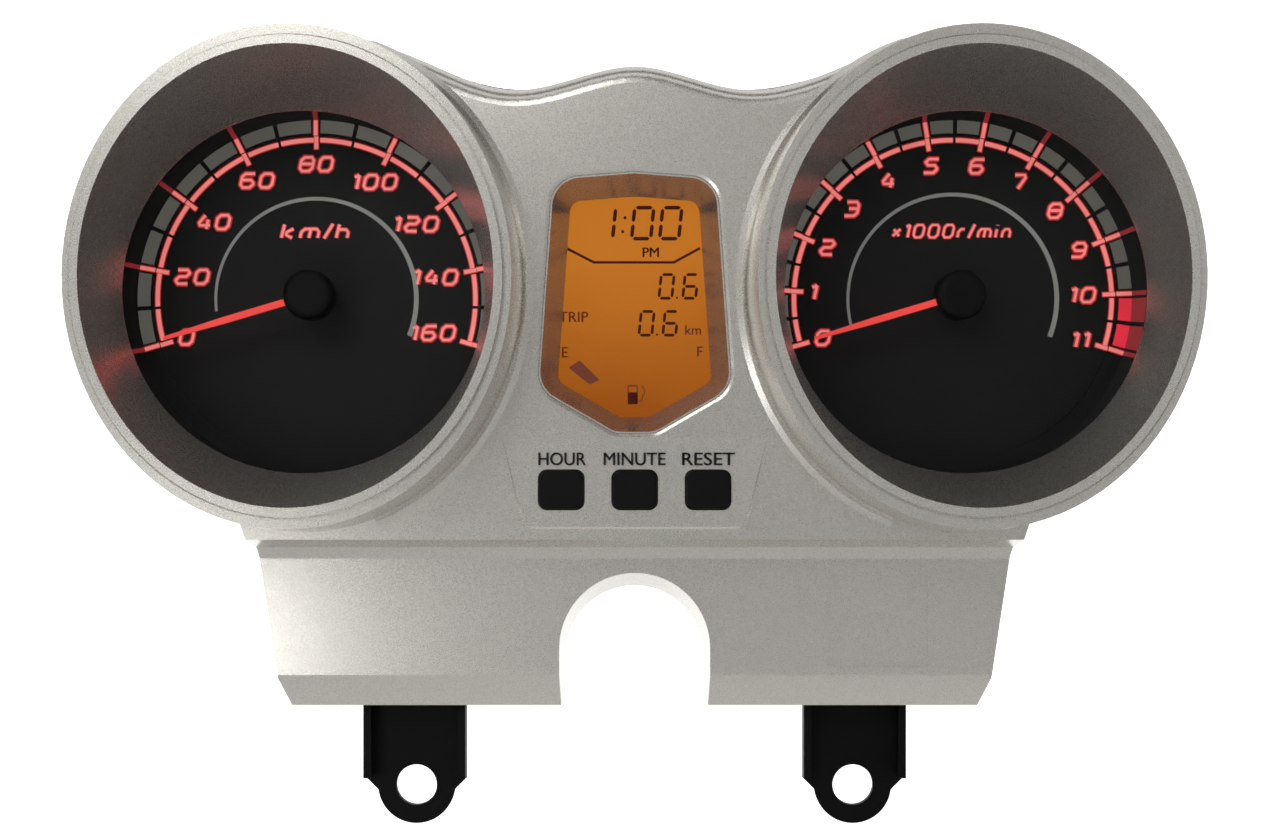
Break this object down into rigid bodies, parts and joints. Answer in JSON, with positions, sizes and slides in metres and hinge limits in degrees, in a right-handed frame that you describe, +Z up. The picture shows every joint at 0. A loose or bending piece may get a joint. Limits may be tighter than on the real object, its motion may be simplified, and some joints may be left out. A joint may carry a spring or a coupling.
{
  "type": "motorcycle instrument cluster",
  "caption": "Twin-pod motorcycle instrument cluster: speedometer and tachometer in deep oval hoods, amber display with buttons between them, key arch and two steel legs.",
  "frame": {"origin": "midway between the two leg holes, on the front face of the legs' webs", "axes": "+X to the rider's right, +Y away from the rider, +Z up"},
  "size_m": [0.2818, 0.0822, 0.2035],
  "materials": {
    "cover_silver": "satin metallic paint on moulded plastic",
    "housing_black": "fine texture",
    "inner_black": "matte",
    "dial_black": "screen printed, matte",
    "button_black": "smooth",
    "bracket_black": "black powder coat",
    "clear_lens": "clear",
    "lcd_amber": "backlit amber",
    "light_diffuser": "frosted",
    "pointer_red": "translucent red, lit from its hub",
    "seal_rubber": "soft",
    "board_green": "solder mask",
    "connector_white": "plain",
    "bobbin_plastic": "plain",
    "coil_copper": "enamelled copper wire",
    "magnet_iron": "sintered ferrite",
    "zinc_steel": "zinc plated"
  },
  "bodies": {
    "housing": {"board_screws": "zinc_steel", "circuit_board": "board_green", "connector_header": "connector_white", "front_cover": "cover_silver", "housing_screws": "zinc_steel", "lcd_contact_strip": "seal_rubber", "lcd_diffuser": "light_diffuser", "lcd_frame": "inner_black", "lcd_glass": "lcd_amber", "lcd_lens": "clear_lens", "leds": "light_diffuser", "left_bracket": "bracket_black", "microcontroller": "inner_black", "mount_bolts": "zinc_steel", "mount_collars": "zinc_steel", "mount_grommets": "seal_rubber", "mount_nuts": "zinc_steel", "mount_washers": "zinc_steel", "rear_housing": "housing_black", "right_bracket": "bracket_black", "seal": "seal_rubber", "speedo_bobbin_front": "bobbin_plastic", "speedo_bobbin_rear": "bobbin_plastic", "speedo_chapter_ring": "inner_black", "speedo_coil_inner": "coil_copper", "speedo_coil_outer": "coil_copper", "speedo_dial": "dial_black", "speedo_lens": "clear_lens", "speedo_light_guide": "light_diffuser", "speedo_shield": "zinc_steel", "speedo_shroud": "inner_black", "switch_bodies": "inner_black", "tacho_bobbin_front": "bobbin_plastic", "tacho_bobbin_rear": "bobbin_plastic", "tacho_chapter_ring": "inner_black", "tacho_coil_inner": "coil_copper", "tacho_coil_outer": "coil_copper", "tacho_dial": "dial_black", "tacho_lens": "clear_lens", "tacho_light_guide": "light_diffuser", "tacho_shield": "zinc_steel", "tacho_shroud": "inner_black", "vent_cap": "housing_black"},
    "speedo_needle": {"speedo_pointer": "pointer_red", "speedo_hub": "inner_black", "speedo_spindle": "zinc_steel", "speedo_magnet": "magnet_iron"},
    "tacho_needle": {"tacho_pointer": "pointer_red", "tacho_hub": "inner_black", "tacho_spindle": "zinc_steel", "tacho_magnet": "magnet_iron"},
    "hour_key": {"hour_button": "button_black", "hour_push_rod": "bobbin_plastic", "hour_switch_stem": "bobbin_plastic"},
    "minute_key": {"minute_button": "button_black", "minute_push_rod": "bobbin_plastic", "minute_switch_stem": "bobbin_plastic"},
    "reset_key": {"reset_button": "button_black", "reset_push_rod": "bobbin_plastic", "reset_switch_stem": "bobbin_plastic"}
  },
  "joints": [
    {"name": "speedo_sweep", "type": "hinge", "parent": "housing", "child": "speedo_needle", "pos_m": [-0.0839, 0, 0.1285], "axis": [0, 1, 0], "range_deg": [0, 213], "stiffness_Nm_per_rad": 0.000002, "springref_deg": -17.19},
    {"name": "tacho_sweep", "type": "hinge", "parent": "housing", "child": "tacho_needle", "pos_m": [0.0839, 0, 0.1285], "axis": [0, 1, 0], "range_deg": [0, 214.5], "stiffness_Nm_per_rad": 0.000002, "springref_deg": -17.19},
    {"name": "hour_press", "type": "slide", "parent": "housing", "child": "hour_key", "axis": [0, 1, 0], "range_m": [0, 0.0009], "stiffness_N_per_m": 1200, "springref_m": -0.0006},
    {"name": "minute_press", "type": "slide", "parent": "housing", "child": "minute_key", "axis": [0, 1, 0], "range_m": [0, 0.0009], "stiffness_N_per_m": 1200, "springref_m": -0.0006},
    {"name": "reset_press", "type": "slide", "parent": "housing", "child": "reset_key", "axis": [0, 1, 0], "range_m": [0, 0.0009], "stiffness_N_per_m": 1200, "springref_m": -0.0006}
  ]
}
